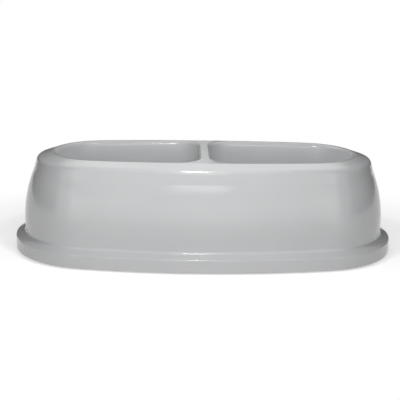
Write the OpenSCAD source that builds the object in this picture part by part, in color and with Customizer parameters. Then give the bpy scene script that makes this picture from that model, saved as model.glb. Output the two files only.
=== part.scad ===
// Double pet bowl: one thin moulded shell with two wells, standing on four push-in rubber feet.
// X runs along the length, the front faces -Y, Z is up. The origin is on the ground under the middle.

/* [Footprint] */
// Length of the base, over the flange
base_l = 380; // [330:1:430]
// Width of the base, over the flange
base_w = 187; // [172:1:210]
// Bow of the long sides: half the width less the radius of the round ends
side_bow = 9.5; // [6:0.5:16]

/* [Skirt and rim] */
// Height of the moulded shell, without its feet
shell_h = 95.8; // [90:0.2:125]
// Thickness of the moulding
wall = 2.8; // [2:0.1:3.4]
// How far the skirt stands in from the flange's edge
skirt_in = 9.4; // [7:0.2:12]
// Height above the base at which the skirt starts to lean in
bulge_z = 29; // [25:1:38]
// Drop from the land to the soft crease under the rim
crease_drop = 16.8; // [15:0.2:22]
// Lean of the skirt just under the crease, in degrees
skirt_lean = 21; // [14:0.5:25]
// Straight part of the lean under the crease
lean_h = 6; // [3:0.5:12]
// Lean of the band above the crease, in degrees
band_lean = 14; // [6:0.5:17]
// Radius of the rounded rim
rim_r = 12; // [8:0.5:13]
// Width of the crown, which slopes from the land down to the rounded rim
crown_w = 6; // [3:0.5:8]
// Slope of the crown, in degrees
crown_slope = 15; // [5:1:20]

/* [Flange] */
// Height of the flange's upright edge
flange_h = 11.7; // [11:0.1:15]
// Slope of the flange's top, in degrees
flange_slope = 22; // [12:1:35]
// Radius of the flange's upper edge
flange_edge_r = 1.5; // [0.8:0.1:1.9]
// Radius where the flange runs into the skirt
flange_root_r = 3; // [1.5:0.5:4]

/* [Wells] */
// Flat land between the crown and the lip of a well
land_w = 1.2; // [0.6:0.2:4]
// Radius of the lip round a well
lip_r = 5; // [3:0.5:6]
// Radius of the lip along the divider
divider_lip_r = 1.8; // [1:0.2:2.6]
// Bow of a well's long side: half the well's width less the radius of its outer end
well_bow = 5.5; // [3:0.5:10]
// Depth of a well, from the land to its floor
well_depth = 54; // [40:1:66]
// Draft of a well's wall, in degrees
well_draft = 8; // [4:0.5:10]
// Radius between a well's wall and its floor
well_floor_r = 10; // [6:0.5:11]
// Width of the divider, between the edges of the two wells
divider_w = 9.8; // [9:0.2:16]
// Radius of a well's corners beside the divider
corner_r = 20; // [18:1:26]
// Diameter of the gate mark on the divider
gate_d = 4; // [2:0.5:5]
// Depth of the gate mark
gate_depth = 0.4; // [0.2:0.1:0.8]
// Place of the gate mark behind the middle of the divider
gate_back = 12; // [0:1:25]

/* [Ribs under the land] */
// Thickness of a rib
rib_t = 1.8; // [1.2:0.1:2.4]
// Height of a rib at the well
rib_h = 34; // [20:1:40]
// Height of a rib at the skirt
rib_skirt_h = 20; // [12:1:30]
// Distance between ribs along the front and the back
rib_pitch = 62; // [50:1:70]
// Distance between the two webs that join the wells
web_gap = 44; // [20:1:60]

/* [Feet] */
// How far a foot stands out below the shell
foot_proud = 1.5; // [1:0.1:3]
// Diameter of a foot's head
foot_d = 16; // [12:0.5:18]
// Depth of the round seat that holds a foot's head
seat_depth = 2.5; // [1.5:0.1:3]
// Thickness of the plate that the foot's stem goes through
seat_plate = 2.4; // [1.6:0.1:3]
// Wall of the round boss about the seat
boss_wall = 2.2; // [1.6:0.1:3]
// Diameter of a foot's stem
stem_d = 5; // [4:0.2:5.8]
// Diameter of the barb at the top of the stem
barb_d = 6.8; // [6.4:0.1:8]
// Diameter of the barb's blunt end
barb_end_d = 3.4; // [2.5:0.1:4]
// Length of the barb
barb_h = 4; // [2.5:0.1:4.5]
// Clearance round a foot's stem and head, and over its plate
foot_gap = 0.15; // [0.05:0.05:0.3]
// Rounding of a foot's lower edge
foot_edge_r = 0.9; // [0.4:0.1:1]
// Diameter of the dished middle of a foot's sole
sole_d = 9; // [6:0.5:10]
// Depth of the dished middle
sole_depth = 0.6; // [0.3:0.1:0.9]
// Place of the feet round the end curves, in degrees from the length
foot_angle = 52; // [40:1:65]

/* [Hidden] */
// Every cut runs past the surface that it opens by this much
overrun = 1;
// Segments in one turn of a round feature
round_fn = 32;
// Segments in one turn of a small rounding
small_fn = 12;
plastic = [0.72, 0.73, 0.74];
rubber = [0.16, 0.16, 0.17];

// Levels above the ground, which the feet stand on
base_z = foot_proud;
top_z = base_z + shell_h;
under_z = top_z - wall / 2;
floor_z = top_z - well_depth;

// A four-arc oval has two end arcs and two long side arcs that meet them smoothly
function side_radius(a, b, r) = ((a - r) * (a - r) + b * b - r * r) / (2 * (b - r));
function split_angle(a, b, r) = atan2(a - r, side_radius(a, b, r) - b);

// Points of an arc without its last one, so that the next arc can follow
function arc(centre, r, from, to, steps) = [
    for (k = [0 : steps - 1]) let (a = from + (to - from) * k / steps) centre + r * [cos(a), sin(a)]
];
end_steps = 22;
side_steps = 8;
corner_steps = 7;

half_l = base_l / 2;
half_w = base_w / 2;
end_r = half_w - side_bow;

// Points of a four-arc oval of half length a and half width b, with end arcs of radius r
function four_arcs(a, b, r) = let (side_r = side_radius(a, b, r), split = split_angle(a, b, r)) concat(
    arc([a - r, 0], r, split - 90, 90 - split, end_steps),
    arc([0, b - side_r], side_r, 90 - split, 90 + split, side_steps),
    arc([r - a, 0], r, 90 + split, 270 - split, end_steps),
    arc([0, side_r - b], side_r, 270 - split, 270 + split, side_steps)
);
// The base outline drawn in by an inset, and the edge of the land, which has the bow of the wells' sides
function oval(inset) = four_arcs(half_l - inset, half_w - inset, end_r - inset);
function land_oval(inset) = four_arcs(half_l - inset, half_w - inset, half_w - inset - well_bow);

// Centres of the arcs in the skirt's section, as insets from the base outline and heights above the base
crease_z = shell_h - crease_drop;
bulge_r = (crease_z - lean_h - bulge_z) / sin(skirt_lean);
lean_in = skirt_in + bulge_r * (1 - cos(skirt_lean));
crease_in = lean_in + lean_h * tan(skirt_lean);
crease_lean = (skirt_lean + band_lean) / 2;
crease_share = 1 / cos((skirt_lean - band_lean) / 2);
rim_z = shell_h - crown_w * tan(crown_slope) - rim_r * cos(crown_slope);
band_h = rim_z + rim_r * sin(band_lean) - crease_z;
rim_in = crease_in + band_h * tan(band_lean) + rim_r * cos(band_lean);
land_in = rim_in - rim_r * sin(crown_slope) + crown_w;
slope_share = (1 - sin(flange_slope)) / cos(flange_slope);
flange_run = skirt_in / cos(flange_slope) - (flange_edge_r + flange_root_r) * slope_share;
root_in = skirt_in - flange_root_r;
root_z = flange_h + (flange_edge_r + flange_root_r) * cos(flange_slope) + flange_run * sin(flange_slope);
edge_steps = 2;
root_steps = 3;
bulge_steps = 5;
rim_steps = 6;

// Section of the shell's skin from the flange up to the crown, moved into the plastic by a depth t
function flange_edge(t) = t < flange_edge_r
    ? [for (k = [0 : edge_steps]) let (a = (90 - flange_slope) * k / edge_steps)
        [flange_edge_r - (flange_edge_r - t) * cos(a), flange_h + (flange_edge_r - t) * sin(a)]]
    : [[t, flange_h - (t - flange_edge_r) * slope_share]];
function skin(t) = concat(
    flange_edge(t),
    [for (k = [0 : root_steps]) let (a = (90 - flange_slope) * (1 - k / root_steps))
        [root_in + (flange_root_r + t) * cos(a), root_z - (flange_root_r + t) * sin(a)]],
    [for (k = [0 : bulge_steps]) let (a = skirt_lean * k / bulge_steps)
        [skirt_in + bulge_r - (bulge_r - t) * cos(a), bulge_z + (bulge_r - t) * sin(a)]],
    [[crease_in + t * crease_share * cos(crease_lean), crease_z - t * crease_share * sin(crease_lean)]],
    [for (k = [0 : rim_steps]) let (a = band_lean + (90 - crown_slope - band_lean) * k / rim_steps)
        [rim_in - (rim_r - t) * cos(a), rim_z + (rim_r - t) * sin(a)]]
);

// Edge of the right-hand well: an outer end, two bowed sides, and two corners at the divider.
// The edge is where the drafted wall, carried on without its lip, would meet the land.
lip_share = (1 - sin(well_draft)) / cos(well_draft);
well_in = land_in + land_w + lip_r * lip_share;
well_l = half_l - well_in;
well_w = half_w - well_in;
well_end_r = well_w - well_bow;
well_side_r = side_radius(well_l, well_w, well_end_r);
well_split = split_angle(well_l, well_w, well_end_r);
corner_x = divider_w / 2 + corner_r;
corner_turn = asin(corner_x / (well_side_r - corner_r));
corner_y = well_w - well_side_r + (well_side_r - corner_r) * cos(corner_turn);

// Each point of the edge is its place, the direction outwards and the radius of the lip there
function edge_arc(centre, r, from, to, steps, from_lip, to_lip) = [
    for (k = [0 : steps - 1])
        let (a = from + (to - from) * k / steps, out = [cos(a), sin(a)])
        [centre + r * out, out, from_lip + (to_lip - from_lip) * k / steps]
];
well_edge = concat(
    edge_arc([well_l - well_end_r, 0], well_end_r, well_split - 90, 90 - well_split, end_steps, lip_r, lip_r),
    edge_arc([0, well_w - well_side_r], well_side_r, 90 - well_split, 90 - corner_turn, side_steps, lip_r, lip_r),
    edge_arc([corner_x, corner_y], corner_r, 90 - corner_turn, 180, corner_steps, lip_r, divider_lip_r),
    [for (y = [corner_y, -corner_y]) [[divider_w / 2, y], [-1, 0], divider_lip_r]],
    edge_arc([corner_x, -corner_y], corner_r, 180, 270 + corner_turn, corner_steps, divider_lip_r, lip_r),
    edge_arc([0, well_side_r - well_w], well_side_r, 270 + corner_turn, 270 + well_split, side_steps, lip_r, lip_r)
);
function place(edge, out, z) = [edge[0].x + out * edge[1].x, edge[0].y + out * edge[1].y, z];

// Rings of a well from the floor up: a fillet at the floor, moved into the plastic by a depth t, then the lip
fillet_z = floor_z + well_floor_r;
fillet_out = (fillet_z - top_z) * tan(well_draft) - well_floor_r / cos(well_draft);
floor_steps = 4;
lip_steps = 5;
function fillet_out_at(t, a) = fillet_out + (well_floor_r + t) * cos(a);
function fillet_z_at(t, a) = fillet_z - (well_floor_r + t) * sin(a);
function floor_rings(t) = [
    for (k = [0 : floor_steps]) let (a = 90 + (well_draft - 90) * k / floor_steps)
        [for (edge = well_edge) place(edge, fillet_out_at(t, a), fillet_z_at(t, a))]
];
well_inside = concat(
    floor_rings(0),
    [for (k = [0 : lip_steps]) let (a = well_draft + (90 - well_draft) * k / lip_steps)
        [for (edge = well_edge) place(edge, edge[2] * (lip_share - cos(a)), top_z - edge[2] * (1 - sin(a)))]],
    [[for (edge = well_edge) place(edge, edge[2] * lip_share, top_z + overrun)]]
);
cup_out = fillet_out_at(wall, well_draft) + (under_z - fillet_z_at(wall, well_draft)) * tan(well_draft);
well_outside = concat(
    floor_rings(wall),
    [[for (edge = well_edge) place(edge, cup_out, under_z)]]
);

// Feet and the bosses that hold them
seat_r = foot_d / 2 + foot_gap;
boss_r = seat_r + boss_wall;
boss_in = boss_r + wall / 2;
plate_z = base_z + seat_depth;
boss_h = flange_h - wall;
cup_z = plate_z + seat_plate;
foot_x = half_l - end_r + (end_r - boss_in) * cos(foot_angle);
foot_y = (end_r - boss_in) * sin(foot_angle);

// Solid through a stack of closed outlines that have as many points each
module loft(rings) {
    n = len(rings[0]);
    sides = [
        for (j = [0 : len(rings) - 2], k = [0 : n - 1])
            [j * n + k, (j + 1) * n + k, (j + 1) * n + (k + 1) % n, j * n + (k + 1) % n]
    ];
    bottom = [for (k = [0 : n - 1]) k];
    top = [for (k = [n - 1 : -1 : 0]) (len(rings) - 1) * n + k];
    polyhedron(points = [for (ring = rings) each ring], faces = concat([bottom], sides, [top]));
}
function at_height(outline, z) = [for (p = outline) [p.x, p.y, z]];

// The whole body inside the skin at a depth t, from a level up to the land
module body_solid(t, from_z) {
    loft(concat(
        [at_height(oval(t), from_z)],
        [for (s = skin(t)) at_height(oval(s[0]), base_z + s[1])],
        [at_height(land_oval(land_in + t * tan(crown_slope / 2)), top_z - t)]
    ));
}

module both_wells(rings) {
    for (side = [0, 1])
        mirror([side, 0, 0])
            loft(rings);
}

// Ribs along the front, and as many along the back
rib_count = 4;

// A rib from a well's wall out to the skirt, along +Y, and clipped by the skirt where it is used
module rib(from_y, to_y) {
    hull() {
        translate([-rib_t / 2, from_y, top_z - rib_h])
            cube([rib_t, rib_t, rib_h - wall / 2]);
        translate([-rib_t / 2, to_y - rib_t, top_z - rib_skirt_h])
            cube([rib_t, rib_t, rib_skirt_h - wall / 2]);
    }
}

module ribs() {
    for (turn = [0, 180], k = [0 : rib_count - 1])
        rotate(turn)
            translate([(k - (rib_count - 1) / 2) * rib_pitch, 0, 0])
                rib(well_w - well_floor_r, half_w - skirt_in);
    for (turn = [-90, 90])
        rotate(turn)
            rib(well_l - well_floor_r, half_l - skirt_in);
    for (y = [-web_gap / 2, web_gap / 2])
        translate([-corner_x / 2, y - rib_t / 2, top_z - rib_h])
            cube([corner_x, rib_t, rib_h - wall / 2]);
}

module at_feet() {
    for (x = [-foot_x, foot_x], y = [-foot_y, foot_y])
        translate([x, y, 0])
            children();
}

module bowl_shell() {
    color(plastic)
        difference() {
            union() {
                difference() {
                    body_solid(0, base_z);
                    body_solid(wall, base_z - overrun);
                }
                intersection() {
                    body_solid(wall / 2, base_z);
                    union() {
                        both_wells(well_outside);
                        ribs();
                        at_feet()
                            translate([0, 0, base_z])
                                cylinder(r = boss_r, h = boss_h, $fn = round_fn);
                    }
                }
            }
            both_wells(well_inside);
            at_feet() {
                translate([0, 0, base_z - overrun])
                    cylinder(r = seat_r, h = seat_depth + overrun, $fn = round_fn);
                translate([0, 0, base_z])
                    cylinder(d = stem_d + 2 * foot_gap, h = boss_h, $fn = round_fn);
                translate([0, 0, cup_z])
                    cylinder(r = seat_r, h = base_z + boss_h + overrun - cup_z, $fn = round_fn);
            }
            translate([0, gate_back, top_z - gate_depth])
                cylinder(d = gate_d, h = gate_depth + overrun, $fn = round_fn);
        }
}

// A push-in rubber foot: head with a dished sole, stem, and a barb that holds it over the plate
module foot(side_x, side_y) {
    barb_z = cup_z + foot_gap;
    color(rubber)
        translate([side_x * foot_x, side_y * foot_y, 0])
            rotate_extrude($fn = round_fn)
                difference() {
                    union() {
                        translate([0, foot_edge_r])
                            square([foot_d / 2, plate_z - foot_edge_r]);
                        square([foot_d / 2 - foot_edge_r, plate_z]);
                        translate([foot_d / 2 - foot_edge_r, foot_edge_r])
                            circle(r = foot_edge_r, $fn = small_fn);
                        square([stem_d / 2, barb_z + barb_h / 2]);
                        polygon([
                            [0, barb_z],
                            [barb_d / 2, barb_z],
                            [barb_end_d / 2, barb_z + barb_h],
                            [0, barb_z + barb_h]
                        ]);
                    }
                    polygon([[0, -overrun], [sole_d / 2 + overrun, -overrun], [sole_d / 2, 0], [0, sole_depth]]);
                }
}

module foot_front_left() foot(-1, -1);
module foot_front_right() foot(1, -1);
module foot_rear_left() foot(-1, 1);
module foot_rear_right() foot(1, 1);

bowl_shell();
foot_front_left();
foot_front_right();
foot_rear_left();
foot_rear_right();
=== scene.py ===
# %% [markdown]
# A double pet bowl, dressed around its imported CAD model.
# The real object is one glossy grey moulding that stands on four rubber feet. The CAD part gives the
# outer sizes, the wells and the places of the feet. Here the moulding is built again as a much finer
# mesh, because a glossy surface shows each facet of a coarse one in its highlights. Then it gets its
# plastic, the feet get their rubber, and floor, light and camera follow.

# %% Load the frame
import math
import bpy
from mathutils import Matrix, Vector


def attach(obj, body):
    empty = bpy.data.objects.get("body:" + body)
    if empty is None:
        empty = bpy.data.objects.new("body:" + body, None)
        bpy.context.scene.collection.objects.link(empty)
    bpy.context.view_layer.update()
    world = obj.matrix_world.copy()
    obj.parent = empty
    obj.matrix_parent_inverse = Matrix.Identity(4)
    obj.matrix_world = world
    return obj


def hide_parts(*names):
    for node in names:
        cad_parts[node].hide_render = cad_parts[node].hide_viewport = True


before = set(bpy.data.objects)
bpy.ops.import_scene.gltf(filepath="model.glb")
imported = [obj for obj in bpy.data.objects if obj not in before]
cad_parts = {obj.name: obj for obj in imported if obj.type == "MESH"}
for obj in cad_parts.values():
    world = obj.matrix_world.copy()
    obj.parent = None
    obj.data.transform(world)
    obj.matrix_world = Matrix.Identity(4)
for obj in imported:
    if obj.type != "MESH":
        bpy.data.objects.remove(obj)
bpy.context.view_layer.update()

# %% [markdown]
# Lengths are in millimetres, as a mould maker writes them, and become metres only when a mesh is made.
# The outer sizes repeat the CAD part's own, so the finer moulding fills the same box.

# %% Outer sizes
MM = 0.001
base_l, base_w, side_bow = 380.0, 187.0, 9.5
shell_h, wall, foot_proud = 95.8, 2.8, 1.5

base_z = foot_proud
top_z = base_z + shell_h
half_l, half_w = base_l / 2, base_w / 2
end_r = half_w - side_bow
print("shell", base_l, "x", base_w, "x", top_z, "mm")

# %% [markdown]
# Seen from above, the bowl is a four-arc oval: two end arcs, and two long side arcs that meet them
# smoothly. An ellipse would be easier to write, but an ellipse drawn in by the same amount all round is
# no ellipse any more, so the wall would change its thickness. Arcs stay arcs when they are drawn in.

# %% Four-arc ovals
END_STEPS, SIDE_STEPS = 64, 40
QUARTER = math.pi / 2


def side_radius(a, b, r):
    """Radius of the side arcs, from the half length a, the half width b and the end radius r."""
    return ((a - r) ** 2 + b * b - r * r) / (2 * (b - r))


def split_angle(a, b, r):
    """Angle from the width's direction to the point where a side arc meets an end arc."""
    return math.atan2(a - r, side_radius(a, b, r) - b)


def arc(centre, r, start, end, steps):
    """Points of an arc without its last one, so that the next arc can follow."""
    turns = [start + (end - start) * k / steps for k in range(steps)]
    return [(centre[0] + r * math.cos(t), centre[1] + r * math.sin(t)) for t in turns]


def four_arcs(a, b, r):
    side_r, split = side_radius(a, b, r), split_angle(a, b, r)
    near, far = QUARTER - split, QUARTER + split
    return (arc((a - r, 0), r, -near, near, END_STEPS)
            + arc((0, b - side_r), side_r, near, far, SIDE_STEPS)
            + arc((r - a, 0), r, far, far + 2 * near, END_STEPS)
            + arc((0, side_r - b), side_r, far + 2 * near, 2 * math.pi - near, SIDE_STEPS))


def oval(inset):
    return four_arcs(half_l - inset, half_w - inset, end_r - inset)


print("points round the bowl", len(oval(0)))

# %% [markdown]
# The section of the wall is a chain of arcs: flange edge, root of the flange, bulging skirt, soft
# crease, rounded rim, and a crown that slopes up to the flat land. The CAD solid has a softer rim, a
# narrower crown and a sharp crease. The highlights on the real bowl show a tight rim, a broad crown and
# a soft crease, so they are made here, and the section stays within a millimetre of the solid's.

# %% Sizes of the section
skirt_in, bulge_z, crease_drop, crease_r = 9.4, 29.0, 16.8, 14.0
skirt_lean, lean_h, band_lean = math.radians(21), 6.0, math.radians(17)
rim_r, crown_w, crown_slope = 6.0, 11.0, math.radians(18)
flange_h, flange_slope, flange_edge_r, flange_root_r = 11.7, math.radians(22), 1.5, 3.0

crease_z = shell_h - crease_drop
bulge_r = (crease_z - lean_h - bulge_z) / math.sin(skirt_lean)
lean_in = skirt_in + bulge_r * (1 - math.cos(skirt_lean))
crease_in = lean_in + lean_h * math.tan(skirt_lean)
crease_mid, crease_half = (skirt_lean + band_lean) / 2, (skirt_lean - band_lean) / 2
rim_z = shell_h - crown_w * math.tan(crown_slope) - rim_r * math.cos(crown_slope)
band_h = rim_z + rim_r * math.sin(band_lean) - crease_z
rim_in = crease_in + band_h * math.tan(band_lean) + rim_r * math.cos(band_lean)
land_in = rim_in - rim_r * math.sin(crown_slope) + crown_w
slope_share = (1 - math.sin(flange_slope)) / math.cos(flange_slope)
flange_run = skirt_in / math.cos(flange_slope) - (flange_edge_r + flange_root_r) * slope_share
root_in = skirt_in - flange_root_r
root_z = (flange_h + (flange_edge_r + flange_root_r) * math.cos(flange_slope)
          + flange_run * math.sin(flange_slope))
print("crease at", crease_z, "mm, land starts", round(land_in, 1), "mm in")

# %% [markdown]
# The section is written once, for any depth t under the skin, so the same words give the outside at
# t = 0 and the hollow inside at t = wall. Each part of it gets as many steps as its turn needs to look
# smooth.

# %% Points of the section
EDGE_STEPS, ROOT_STEPS, BULGE_STEPS, CREASE_STEPS, RIM_STEPS = 8, 10, 24, 6, 30


def steps(start, end, count):
    return [start + (end - start) * k / count for k in range(count + 1)]


def flange_edge(t):
    if t >= flange_edge_r:
        return [(t, flange_h - (t - flange_edge_r) * slope_share)]
    r = flange_edge_r - t
    return [(flange_edge_r - r * math.cos(a), flange_h + r * math.sin(a))
            for a in steps(0, QUARTER - flange_slope, EDGE_STEPS)]


def skin(t):
    """Insets and heights of the section, from the flange up to the crown."""
    root, bulge, rim = flange_root_r + t, bulge_r - t, rim_r - t
    fold = crease_r / math.cos(crease_half)
    fold_in = crease_in - fold * math.cos(crease_mid)
    fold_z = crease_z + fold * math.sin(crease_mid)
    return (flange_edge(t)
            + [(root_in + root * math.cos(a), root_z - root * math.sin(a))
               for a in steps(QUARTER - flange_slope, 0, ROOT_STEPS)]
            + [(skirt_in + bulge_r - bulge * math.cos(a), bulge_z + bulge * math.sin(a))
               for a in steps(0, skirt_lean, BULGE_STEPS)]
            + [(fold_in + (crease_r + t) * math.cos(a), fold_z - (crease_r + t) * math.sin(a))
               for a in steps(skirt_lean, band_lean, CREASE_STEPS)]
            + [(rim_in - rim * math.cos(a), rim_z + rim * math.sin(a))
               for a in steps(band_lean, QUARTER - crown_slope, RIM_STEPS)])


print("section points", len(skin(0)))

# %% [markdown]
# A closed solid is lofted through rings that all have the same number of points: quads between the
# rings and one face at each end. Boolean modifiers then do what the mould does, with Blender's Manifold
# solver, which keeps thin walls closed and is fast enough for meshes as fine as these.

# %% Lofts and cuts
def mesh_object(name, points, faces):
    mesh = bpy.data.meshes.new(name)
    mesh.from_pydata([tuple(v * MM for v in p) for p in points], [], faces)
    mesh.validate()
    thing = bpy.data.objects.new(name, mesh)
    bpy.context.scene.collection.objects.link(thing)
    return thing


def loft(name, rings):
    n = len(rings[0])
    faces = [tuple(reversed(range(n)))]
    for j in range(len(rings) - 1):
        low, high = j * n, (j + 1) * n
        faces += [(low + k, low + (k + 1) % n, high + (k + 1) % n, high + k) for k in range(n)]
    faces.append(tuple(range((len(rings) - 1) * n, len(rings) * n)))
    return mesh_object(name, [p for ring in rings for p in ring], faces)


def at_height(outline, z):
    return [(x, y, z) for x, y in outline]


def cut(target, tools, how):
    """Applies one boolean for each tool, and removes the tools."""
    for tool in tools:
        step = target.modifiers.new(how.lower(), "BOOLEAN")
        step.operation, step.solver, step.object = how, "MANIFOLD", tool
        bpy.context.view_layer.update()
        made = bpy.data.meshes.new_from_object(
            target.evaluated_get(bpy.context.evaluated_depsgraph_get()))
        target.modifiers.clear()
        target.data = made
        bpy.data.objects.remove(tool)
    return target


# %% [markdown]
# The body of the moulding is the skin lofted round the oval. The crown runs from the rim's oval to the
# land's own oval, which follows the wells. The CAD leaves a sharp fold there and at the foot of the
# flange, but a moulding has a small radius, so both get one. A second loft, one wall thickness inside,
# hollows the body from below.

# %% Body and hollow
well_bow, crown_edge_r, foot_edge_r = 5.5, 1.0, 0.6
FOOT_EDGE_STEPS, CROWN_EDGE_STEPS = 4, 5
overrun = 1.0


def land_oval(inset):
    return four_arcs(half_l - inset, half_w - inset, half_w - inset - well_bow)


def body(name, t, from_z):
    """A solid inside the skin at depth t, from the height from_z up to the land."""
    fold = crown_edge_r - t
    start = land_in + crown_edge_r * math.tan(crown_slope / 2)
    rings = [at_height(oval(t), from_z)]
    if t == 0:
        rings = [at_height(oval(foot_edge_r - foot_edge_r * math.sin(a)),
                           from_z + foot_edge_r - foot_edge_r * math.cos(a))
                 for a in steps(0, QUARTER, FOOT_EDGE_STEPS)]
    rings += [at_height(oval(inset), base_z + z) for inset, z in skin(t)]
    if fold > 0:
        rings += [at_height(land_oval(start - fold * math.sin(a)),
                            top_z - t - fold + fold * math.cos(a))
                  for a in steps(crown_slope, 0, CROWN_EDGE_STEPS)]
    else:
        rings += [at_height(land_oval(land_in + t * math.tan(crown_slope / 2)), top_z - t)]
    return loft(name, rings)


shell = body("bowl_shell_fine", 0, base_z)
cut(shell, [body("hollow", wall, base_z - overrun)], "DIFFERENCE")
print("hollow body", len(shell.data.polygons), "faces")

# %% [markdown]
# Each well starts from its edge, as seen from above: an end arc, two side arcs that follow the land, and
# a straight side along the divider. Its two corners there are a little rounder than the CAD solid's. The
# lip is broad round the outside and tight along the divider, so every point of the edge carries its own
# lip radius.

# %% Edge of a well
land_w, lip_r, divider_lip_r = 0.6, 5.0, 1.8
divider_w, corner_r, well_draft = 9.8, 23.0, math.radians(8)
CORNER_STEPS, DIVIDER_STEPS = 20, 12

lip_share = (1 - math.sin(well_draft)) / math.cos(well_draft)
well_in = land_in + land_w + lip_r * lip_share
well_l, well_w = half_l - well_in, half_w - well_in
well_end_r = well_w - well_bow
well_side_r = side_radius(well_l, well_w, well_end_r)
well_split = split_angle(well_l, well_w, well_end_r)
corner_x = divider_w / 2 + corner_r
corner_turn = math.asin(corner_x / (well_side_r - corner_r))
corner_y = well_w - well_side_r + (well_side_r - corner_r) * math.cos(corner_turn)


def edge_arc(centre, r, start, end, count, from_lip, to_lip):
    """Points of an arc, each with its outward direction and its lip radius."""
    made = []
    for k in range(count):
        a = start + (end - start) * k / count
        out = (math.cos(a), math.sin(a))
        place = (centre[0] + r * out[0], centre[1] + r * out[1])
        made.append((place, out, from_lip + (to_lip - from_lip) * k / count))
    return made


near, turn = QUARTER - well_split, QUARTER - corner_turn
well_edge = (
    edge_arc((well_l - well_end_r, 0), well_end_r, -near, near, END_STEPS, lip_r, lip_r)
    + edge_arc((0, well_w - well_side_r), well_side_r, near, turn, SIDE_STEPS, lip_r, lip_r)
    + edge_arc((corner_x, corner_y), corner_r, turn, math.pi, CORNER_STEPS, lip_r, divider_lip_r)
    + [((divider_w / 2, y), (-1, 0), divider_lip_r)
       for y in steps(corner_y, -corner_y, DIVIDER_STEPS)[:-1]]
    + edge_arc((corner_x, -corner_y), corner_r, math.pi, 2 * math.pi - turn, CORNER_STEPS,
               divider_lip_r, lip_r)
    + edge_arc((0, well_side_r - well_w), well_side_r, -turn, -near, SIDE_STEPS, lip_r, lip_r))
print("well edge", len(well_edge), "points,", round(2 * well_w, 1), "mm wide")

# %% [markdown]
# A well is a loft as well: a floor fillet, a wall with eight degrees of draft so that the moulding
# leaves its tool, and the rounded lip. One solid is the space inside the well, which is cut out last.
# The other is the cup round that space, one wall thickness larger, which is added under the land.

# %% Inside and outside of a well
well_depth, well_floor_r = 54.0, 10.0
FLOOR_STEPS, LIP_STEPS = 16, 14
under_z = top_z - wall / 2
floor_z = top_z - well_depth
fillet_z = floor_z + well_floor_r
fillet_out = (fillet_z - top_z) * math.tan(well_draft) - well_floor_r / math.cos(well_draft)


def well_ring(side, out, z):
    """A ring at the distance out from the edge and the height z, both from the point's lip radius."""
    ring = [(side * (p[0] + out(lip) * d[0]), p[1] + out(lip) * d[1], z(lip))
            for p, d, lip in well_edge]
    return ring if side > 0 else ring[::-1]


def floor_rings(side, t):
    r = well_floor_r + t
    return [well_ring(side, lambda lip: fillet_out + r * math.cos(a),
                      lambda lip: fillet_z - r * math.sin(a))
            for a in steps(QUARTER, well_draft, FLOOR_STEPS)]


def well_inside(side):
    rings = floor_rings(side, 0)
    rings += [well_ring(side, lambda lip: lip * (lip_share - math.cos(a)),
                        lambda lip: top_z - lip * (1 - math.sin(a)))
              for a in steps(well_draft, QUARTER, LIP_STEPS)]
    rings.append(well_ring(side, lambda lip: lip * lip_share, lambda lip: top_z + overrun))
    return loft("well", rings)


def well_outside(side):
    foot_r = well_floor_r + wall
    cup_out = (fillet_out + foot_r * math.cos(well_draft)
               + (under_z - fillet_z + foot_r * math.sin(well_draft)) * math.tan(well_draft))
    rings = floor_rings(side, wall)
    rings.append(well_ring(side, lambda lip: cup_out, lambda lip: under_z))
    return loft("cup", rings)


cups = [well_outside(-1), well_outside(1)]
print("cups", len(cups), "for wells", well_depth, "mm deep")

# %% [markdown]
# Round bosses near the ends of the bowl hold the feet. Their places and sizes are the CAD part's own,
# because the CAD feet stay and have to fit.

# %% Sizes of bosses and seats
foot_d, foot_gap, stem_d = 16.0, 0.15, 5.0
seat_depth, seat_plate, boss_wall = 2.5, 2.4, 2.2
foot_angle = math.radians(52)

seat_r = foot_d / 2 + foot_gap
boss_r = seat_r + boss_wall
boss_in = boss_r + wall / 2
boss_top = base_z + flange_h - wall
foot_x = half_l - end_r + (end_r - boss_in) * math.cos(foot_angle)
foot_y = (end_r - boss_in) * math.sin(foot_angle)
foot_places = [(x, y) for x in (-foot_x, foot_x) for y in (-foot_y, foot_y)]
print("feet at", [(round(x, 1), round(y, 1)) for x, y in foot_places])

# %% [markdown]
# Under the land, ribs tie the wells to the skirt and two webs tie the wells to each other. A rib could
# be a plain box, but the cutter leaves its free edge round in the mould, so it is a loft of two rings
# with a round lower edge, and each ring may have its own height.

# %% Ribs, webs and bosses
rib_t, rib_h, rib_skirt_h, rib_pitch, rib_count, web_gap = 1.8, 34.0, 20.0, 62.0, 4, 44.0
rib_edge_r, RIB_EDGE_STEPS = rib_t * 0.35, 4
rib_low, skirt_low = top_z - rib_h, top_z - rib_skirt_h
ROUND_STEPS = 96


def bar(name, start, end, low_start, low_end, high):
    """A rib from start to end with a rounded lower edge; its height may change along its length."""
    ahead = Vector((end[0] - start[0], end[1] - start[1], 0)).normalized()
    aside = Vector((-ahead.y, ahead.x, 0)) * (rib_t / 2)
    r = rib_edge_r
    rings = []
    for (x, y), low in ((start, low_start), (end, low_end)):
        ring = [(-1, high)]
        ring += [(-1 + (r - r * math.cos(a)) * 2 / rib_t, low + r - r * math.sin(a))
                 for a in steps(0, QUARTER, RIB_EDGE_STEPS)]
        ring += [(1 - (r - r * math.cos(a)) * 2 / rib_t, low + r - r * math.sin(a))
                 for a in steps(QUARTER, 0, RIB_EDGE_STEPS)]
        ring.append((1, high))
        rings.append([(x + aside.x * s, y + aside.y * s, z) for s, z in ring])
    return loft(name, rings)


def circle(x, y, r, z, count):
    turns = [2 * math.pi * k / count for k in range(count)]
    return [(x + r * math.cos(t), y + r * math.sin(t), z) for t in turns]


def round_bar(name, x, y, r, low, high, count=ROUND_STEPS):
    return loft(name, [circle(x, y, r, z, count) for z in (low, high)])


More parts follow.
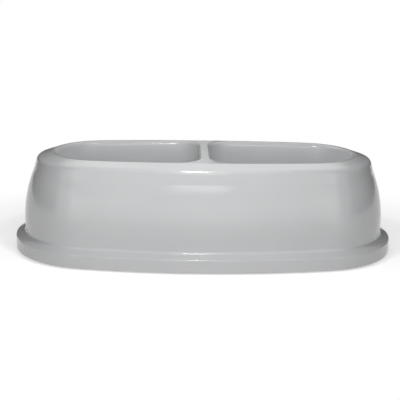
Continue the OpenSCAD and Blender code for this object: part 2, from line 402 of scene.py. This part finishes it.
inner = list(cups)
for side in (-1, 1):
    for k in range(rib_count):
        x = (k - (rib_count - 1) / 2) * rib_pitch
        inner.append(bar("rib", (x, side * (well_w - well_floor_r)), (x, side * (half_w - skirt_in)),
                         rib_low, skirt_low, under_z))
    inner.append(bar("rib", (side * (well_l - well_floor_r), 0), (side * (half_l - skirt_in), 0),
                     rib_low, skirt_low, under_z))
    inner.append(bar("web", (-corner_x / 2, side * web_gap / 2), (corner_x / 2, side * web_gap / 2),
                     rib_low, rib_low, under_z))
inner += [round_bar("boss", x, y, boss_r, base_z, boss_top) for x, y in foot_places]
print("solids under the land", len(inner))

# %% [markdown]
# The cups, ribs, webs and bosses are joined first, then clipped by a loft half a wall inside the skin,
# so nothing shows through outside, and then joined to the shell.

# %% The inner solids join the shell
inside = cut(inner[0], inner[1:], "UNION")
cut(inside, [body("clip", wall / 2, base_z)], "INTERSECT")
cut(shell, [inside], "UNION")
print("with cups and ribs", len(shell.data.polygons), "faces")

# %% [markdown]
# Last come the cuts: the two wells, and in each boss the seat of the foot's head, the hole for its stem
# and the cup over the plate that its barb holds on.

# %% Wells and seats are cut
plate_z = base_z + seat_depth
cup_z = plate_z + seat_plate
cuts = [well_inside(-1), well_inside(1)]
for x, y in foot_places:
    cuts.append(round_bar("seat", x, y, seat_r, base_z - overrun, plate_z))
    cuts.append(round_bar("stem_hole", x, y, stem_d / 2 + foot_gap, base_z, cup_z + overrun))
    cuts.append(round_bar("cup_hole", x, y, seat_r, cup_z, boss_top + overrun))
cut(shell, cuts, "DIFFERENCE")
print("cut open", len(shell.data.polygons), "faces")

# %% [markdown]
# The gate on the divider is where the plastic flows into the mould. Its stub is trimmed off in a small
# round dimple, and a low vestige stays in the middle of it. Both are geometry, cut into the mesh itself.

# %% Gate mark
gate_d, gate_depth, gate_back, gate_edge_r = 4.0, 0.4, 12.0, 0.3
vestige_r, vestige_low, vestige_high = 0.6, -0.2, 0.25
DIMPLE_STEPS, VESTIGE_STEPS, DIMPLE_EDGE_STEPS = 64, 24, 4
gate_z = top_z - gate_depth


def dimple(name, x, y, r, edge, low):
    """A round cutter with a rounded lower edge, for the dimple round the gate."""
    rings = [circle(x, y, r - edge + edge * math.sin(a), low + edge - edge * math.cos(a), DIMPLE_STEPS)
             for a in steps(0, QUARTER, DIMPLE_EDGE_STEPS)]
    rings.append([(p[0], p[1], top_z + overrun) for p in rings[-1]])
    return loft(name, rings)


cut(shell, [dimple("gate", 0, gate_back, gate_d / 2, gate_edge_r, gate_z)], "DIFFERENCE")
cut(shell, [round_bar("vestige", 0, gate_back, vestige_r, gate_z + vestige_low, gate_z + vestige_high,
                      VESTIGE_STEPS)], "UNION")
print("shell", len(shell.data.polygons), "faces")

# %% [markdown]
# Smooth shading by angle keeps the true corners, such as those of the ribs, and blends the lofts.
# Weighted normals let the large flat land keep its flatness right up to the lips, so that no shading
# runs across it.

# %% Shading
for face in shell.data.polygons:
    face.use_smooth = True
shell.data.set_sharp_from_angle(angle=math.radians(35))
weigh = shell.modifiers.new("weighted_normals", "WEIGHTED_NORMAL")
weigh.keep_sharp = True
weigh.weight = 70
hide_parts("bowl_shell")
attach(shell, "root")
print(shell.name, "stands for bowl_shell")

# %% [markdown]
# A material is a tree of nodes. Three helpers keep the trees short: one makes a node and sets its
# values, one links sockets, and one starts a new material.

# %% Node helpers
def node(tree, kind, **values):
    """A new node; each value goes to the input of that name, or else to the node's own setting."""
    made = tree.nodes.new(kind)
    for key, value in values.items():
        if key in made.inputs:
            made.inputs[key].default_value = value
        else:
            setattr(made, key, value)
    return made


def wire(tree, *pairs):
    for out, into in pairs:
        tree.links.new(out, into)


def new_material(name):
    material = bpy.data.materials.new(name)
    material.use_nodes = True
    return material, material.node_tree, material.node_tree.nodes["Principled BSDF"]


def tone_ramp(tree, start, dark, end, light):
    """A colour ramp that is dark up to start and light from end on."""
    made = node(tree, "ShaderNodeValToRGB")
    low, high = made.color_ramp.elements
    low.position, low.color = start, dark
    high.position, high.color = end, light
    return made


# %% [markdown]
# The moulding is light grey plastic with a soft gloss. One flat colour would look painted, so three
# things vary a little: the pigment, in slow clouds along the flow and in a fine speckle; the gloss,
# which drifts where the mould was polished more or less; and the surface, which has a faint orange
# peel. The changes stay small, because the real finish is clean and new.

# %% Plastic
PIGMENT_DARK, PIGMENT_LIGHT = (0.575, 0.580, 0.588, 1), (0.610, 0.615, 0.622, 1)
FLOW_SCALE, SPECKLE_SHARE, PLASTIC_IOR = (1, 1.6, 2.2), 0.35, 1.49


def plastic_material():
    material, tree, shader = new_material("light_grey_moulded_plastic")
    place = node(tree, "ShaderNodeTexCoord")
    stretch = node(tree, "ShaderNodeMapping", Scale=FLOW_SCALE)
    clouds = node(tree, "ShaderNodeTexNoise", Scale=14, Detail=4, Roughness=0.55)
    speckle = node(tree, "ShaderNodeTexNoise", Scale=1900, Detail=2, Roughness=0.6)
    blend = node(tree, "ShaderNodeMath", operation="MULTIPLY_ADD")
    blend.inputs[1].default_value = SPECKLE_SHARE
    pigment = tone_ramp(tree, 0.35, PIGMENT_DARK, 0.95, PIGMENT_LIGHT)
    polish = node(tree, "ShaderNodeTexNoise", Scale=38, Detail=3, Roughness=0.5)
    gloss = node(tree, "ShaderNodeMapRange", **{"To Min": 0.11, "To Max": 0.19})
    peel = node(tree, "ShaderNodeTexNoise", Scale=260, Detail=2, Roughness=0.45)
    bump = node(tree, "ShaderNodeBump", Strength=0.10, Distance=0.0004)
    wire(tree,
         (place.outputs["Object"], stretch.inputs["Vector"]),
         (stretch.outputs["Vector"], clouds.inputs["Vector"]),
         (place.outputs["Object"], speckle.inputs["Vector"]),
         (place.outputs["Object"], polish.inputs["Vector"]),
         (place.outputs["Object"], peel.inputs["Vector"]),
         (speckle.outputs["Fac"], blend.inputs[0]),
         (clouds.outputs["Fac"], blend.inputs[2]),
         (blend.outputs["Value"], pigment.inputs["Fac"]),
         (pigment.outputs["Color"], shader.inputs["Base Color"]),
         (polish.outputs["Fac"], gloss.inputs["Value"]),
         (gloss.outputs["Result"], shader.inputs["Roughness"]),
         (peel.outputs["Fac"], bump.inputs["Height"]),
         (bump.outputs["Normal"], shader.inputs["Normal"]))
    shader.inputs["IOR"].default_value = PLASTIC_IOR
    return material


shell.data.materials.clear()
shell.data.materials.append(plastic_material())
print("plastic on", shell.name)

# %% [markdown]
# The feet are dark rubber, matt, with a fine grain from the mould and slow clouds of a lighter tone,
# like a little dust. Their CAD solids already have the right shape, so they stay and only get the
# better finish.

# %% Rubber feet
RUBBER_DARK, RUBBER_LIGHT = (0.024, 0.024, 0.026, 1), (0.052, 0.051, 0.050, 1)


def rubber_material():
    material, tree, shader = new_material("dark_foot_rubber")
    place = node(tree, "ShaderNodeTexCoord")
    grain = node(tree, "ShaderNodeTexNoise", Scale=1400, Detail=4, Roughness=0.7)
    cloud = node(tree, "ShaderNodeTexNoise", Scale=90, Detail=3, Roughness=0.6)
    shade = tone_ramp(tree, 0.3, RUBBER_DARK, 0.75, RUBBER_LIGHT)
    dull = node(tree, "ShaderNodeMapRange", **{"To Min": 0.70, "To Max": 0.92})
    bump = node(tree, "ShaderNodeBump", Strength=0.35, Distance=0.0002)
    wire(tree,
         (place.outputs["Object"], grain.inputs["Vector"]),
         (place.outputs["Object"], cloud.inputs["Vector"]),
         (cloud.outputs["Fac"], shade.inputs["Fac"]),
         (shade.outputs["Color"], shader.inputs["Base Color"]),
         (grain.outputs["Fac"], dull.inputs["Value"]),
         (dull.outputs["Result"], shader.inputs["Roughness"]),
         (grain.outputs["Fac"], bump.inputs["Height"]),
         (bump.outputs["Normal"], shader.inputs["Normal"]))
    return material


rubber = rubber_material()
for name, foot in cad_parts.items():
    if name.startswith("foot_"):
        for used in foot.material_slots:
            used.material = rubber
        print("rubber on", name)

# %% [markdown]
# The photograph was taken from the front and a little above, with a fairly long lens. The camera's
# place and turn were fitted to the bowl's outline, so they are plain numbers here: where it stands, in
# millimetres, and how it is turned, in radians.

# %% Camera
camera_place = (-23.019, -800.0, 265.649)
yaw, pitch, roll = -0.024034, 0.267339, 0.016613
lens_px, picture_px, sensor = 813.36, 400, 36.0

right = Vector((math.cos(yaw), math.sin(yaw), 0))
ahead = Vector((-math.sin(yaw), math.cos(yaw), 0))
forward = math.cos(pitch) * ahead - math.sin(pitch) * Vector((0, 0, 1))
up = math.sin(pitch) * ahead + math.cos(pitch) * Vector((0, 0, 1))
camera_x = math.cos(roll) * right + math.sin(roll) * up
camera_y = math.cos(roll) * up - math.sin(roll) * right
camera = bpy.data.objects.new("camera", bpy.data.cameras.new("camera"))
bpy.context.scene.collection.objects.link(camera)
camera.matrix_world = (Matrix.Translation(Vector(camera_place) * MM)
                       @ Matrix((camera_x, camera_y, -forward)).transposed().to_4x4())
camera.data.sensor_width = sensor
camera.data.lens = sensor * lens_px / picture_px
camera.data.clip_start, camera.data.clip_end = 0.05, 50
bpy.context.scene.camera = camera
print("lens", round(camera.data.lens, 1), "mm")

# %% [markdown]
# The bowl stands on a plain pale floor under a white sky. A colour that is white for the camera would
# be far too much light for the bowl, so a few nodes ask what kind of ray is looking: the camera, and
# the rays of reflections and of clear bodies, see plain white, and all other light sees an ordinary
# pale surface.

# %% Rays that see the background
def background_rays(tree):
    """1 for a ray from the camera, from a reflection or through a clear body, otherwise 0."""
    rays = node(tree, "ShaderNodeLightPath")
    first = node(tree, "ShaderNodeMath", operation="MAXIMUM")
    both = node(tree, "ShaderNodeMath", operation="MAXIMUM")
    wire(tree,
         (rays.outputs["Is Camera Ray"], first.inputs[0]),
         (rays.outputs["Is Glossy Ray"], first.inputs[1]),
         (first.outputs["Value"], both.inputs[0]),
         (rays.outputs["Is Transmission Ray"], both.inputs[1]))
    return both.outputs["Value"]


# %% [markdown]
# Close to the bowl the floor shows its own paint, lifted a little towards white, so the bowl keeps its
# shadow. Further out it fades into the white of the background, so the picture has no horizon.

# %% Floor
FLOOR_REACH, PAPER_PAINT, PAPER_ROUGHNESS = 3000, (0.80, 0.80, 0.80, 1), 0.9
FLOOR_LIFT, FADE_START, FADE_END = 0.52, 0.20, 0.42

floor = mesh_object("floor", [(x * FLOOR_REACH, y * FLOOR_REACH, 0)
                              for x, y in ((-1, -1), (1, -1), (1, 1), (-1, 1))], [(0, 1, 2, 3)])
floor_paint, tree, shader = new_material("pale_floor")
shader.inputs["Base Color"].default_value = PAPER_PAINT
shader.inputs["Roughness"].default_value = PAPER_ROUGHNESS
white = node(tree, "ShaderNodeEmission", Strength=1.0)
lift = node(tree, "ShaderNodeEmission", Strength=FLOOR_LIFT)
lifted = node(tree, "ShaderNodeAddShader")
near_bowl = node(tree, "ShaderNodeMixShader")
seen = node(tree, "ShaderNodeMixShader")
place = node(tree, "ShaderNodeTexCoord")
flat = node(tree, "ShaderNodeMapping", Scale=(1, 1.6, 1))
reach = node(tree, "ShaderNodeVectorMath", operation="LENGTH")
fade = node(tree, "ShaderNodeMapRange", interpolation_type="SMOOTHSTEP",
            **{"From Min": FADE_START, "From Max": FADE_END})
wire(tree,
     (place.outputs["Object"], flat.inputs["Vector"]),
     (flat.outputs["Vector"], reach.inputs[0]),
     (reach.outputs["Value"], fade.inputs["Value"]),
     (fade.outputs["Result"], near_bowl.inputs["Fac"]),
     (shader.outputs["BSDF"], lifted.inputs[0]),
     (lift.outputs["Emission"], lifted.inputs[1]),
     (lifted.outputs["Shader"], near_bowl.inputs[1]),
     (white.outputs["Emission"], near_bowl.inputs[2]),
     (background_rays(tree), seen.inputs["Fac"]),
     (shader.outputs["BSDF"], seen.inputs[1]),
     (near_bowl.outputs["Shader"], seen.inputs[2]),
     (seen.outputs["Shader"], tree.nodes["Material Output"].inputs["Surface"]))
floor.data.materials.append(floor_paint)
print("floor", 2 * FLOOR_REACH * MM, "m wide")

# %% [markdown]
# The world is the room round the bowl. Its light comes from all sides and has no shape of its own, so
# it is kept low here, only enough to fill the shadows, and the lamps do the rest.

# %% World
SKY_LIGHT, WHITE = 0.32, (1, 1, 1, 1)
world = bpy.data.worlds.new("studio")
bpy.context.scene.world = world
world.use_nodes = True
tree = world.node_tree
tree.nodes.clear()
dim = node(tree, "ShaderNodeBackground", Strength=SKY_LIGHT, Color=WHITE)
white = node(tree, "ShaderNodeBackground", Strength=1.0, Color=WHITE)
choose = node(tree, "ShaderNodeMixShader")
result = node(tree, "ShaderNodeOutputWorld")
wire(tree,
     (background_rays(tree), choose.inputs["Fac"]),
     (dim.outputs["Background"], choose.inputs[1]),
     (white.outputs["Background"], choose.inputs[2]),
     (choose.outputs["Shader"], result.inputs["Surface"]))
print("world", world.name)

# %% [markdown]
# The front of the bowl is pale, its two ends fall off to dark, and small bright highlights sit in the
# middle of the rim and the flange. Each has its own source. Large softboxes in front and at the sides
# light the skirt evenly, and their size keeps their edges out of the gloss. One over the back shows in
# the crown, which makes it paler than the wells. A small lamp close over the rim gives the brightest
# highlight, and one in front the line at the crease. A narrow one behind shows in the flat divider.
# The camera doesn't see the lamps, but the gloss does.

# %% Lights
def softbox(name, place, aim, width, height, power):
    data = bpy.data.lights.new(name, "AREA")
    data.shape, data.size, data.size_y, data.energy = "RECTANGLE", width, height, power
    lamp = bpy.data.objects.new(name, data)
    bpy.context.scene.collection.objects.link(lamp)
    lamp.location = place
    lamp.visible_camera = False
    lamp.rotation_mode = "QUATERNION"
    lamp.rotation_quaternion = (Vector(aim) - Vector(place)).to_track_quat("-Z", "Y")


BOWL_MIDDLE = (0, 0, 0.08)
FRONT_RIM = (0, -0.07, 0.09)
# Name, place and aim in metres, width and height in metres, power in watts.
SOFTBOXES = [
    ("softbox_over_the_back", (0.0, 0.60, 1.00), BOWL_MIDDLE, 1.20, 0.40, 2.1),
    ("small_lamp_over_the_rim", (-0.011, -0.13, 0.335), FRONT_RIM, 0.04, 0.04, 0.33),
    ("lamp_in_front", (0.0, -0.42, 0.30), BOWL_MIDDLE, 0.14, 0.07, 0.20),
    ("lamp_front_left", (-0.30, -0.45, 0.30), BOWL_MIDDLE, 0.36, 0.36, 0.15),
    ("lamp_front_right", (0.30, -0.45, 0.30), BOWL_MIDDLE, 0.36, 0.36, 0.11),
    ("softbox_in_front", (0.0, -1.00, 0.20), BOWL_MIDDLE, 1.50, 0.40, 1.35),
    ("softbox_left", (-0.75, -0.60, 0.20), BOWL_MIDDLE, 0.60, 0.40, 0.90),
    ("narrow_lamp_behind", (-0.005, 0.80, 0.31), BOWL_MIDDLE, 0.09, 0.30, 0.055),
    ("softbox_right", (0.75, -0.60, 0.20), BOWL_MIDDLE, 0.60, 0.40, 0.66),
]
for box in SOFTBOXES:
    softbox(*box)

# %% [markdown]
# A pale glossy object fades away on white, because it reflects the white round it. A photographer
# stands black cards beside it, and their reflection draws a dark edge. Here three cards stand on the
# left, on the right and behind. The camera doesn't see them.

# %% Black cards
CARD_PAINT, CARD_ROUGHNESS = (0.015, 0.015, 0.015, 1), 0.9
CARD_REACH, CARD_FOOT, CARD_TOP = 900, 10, 1400
CARDS = [
    ("card_left", (-CARD_REACH, -CARD_REACH), (-CARD_REACH, CARD_REACH)),
    ("card_right", (CARD_REACH, -CARD_REACH), (CARD_REACH, CARD_REACH)),
    ("card_back", (-CARD_REACH, CARD_REACH), (CARD_REACH, CARD_REACH)),
]
card_paint, tree, shader = new_material("black_card")
shader.inputs["Base Color"].default_value = CARD_PAINT
shader.inputs["Roughness"].default_value = CARD_ROUGHNESS
for name, start, end in CARDS:
    card = mesh_object(name, [(*start, CARD_FOOT), (*end, CARD_FOOT),
                              (*end, CARD_TOP), (*start, CARD_TOP)], [(0, 1, 2, 3)])
    card.data.materials.append(card_paint)
    card.visible_camera = False
print("cards", len(CARDS))

# %% [markdown]
# The colours of the render are shown plainly, with the Standard view transform. The dressed bowl has
# to stay inside the CAD model's box.

# %% View transform
bpy.context.scene.view_settings.view_transform = "Standard"
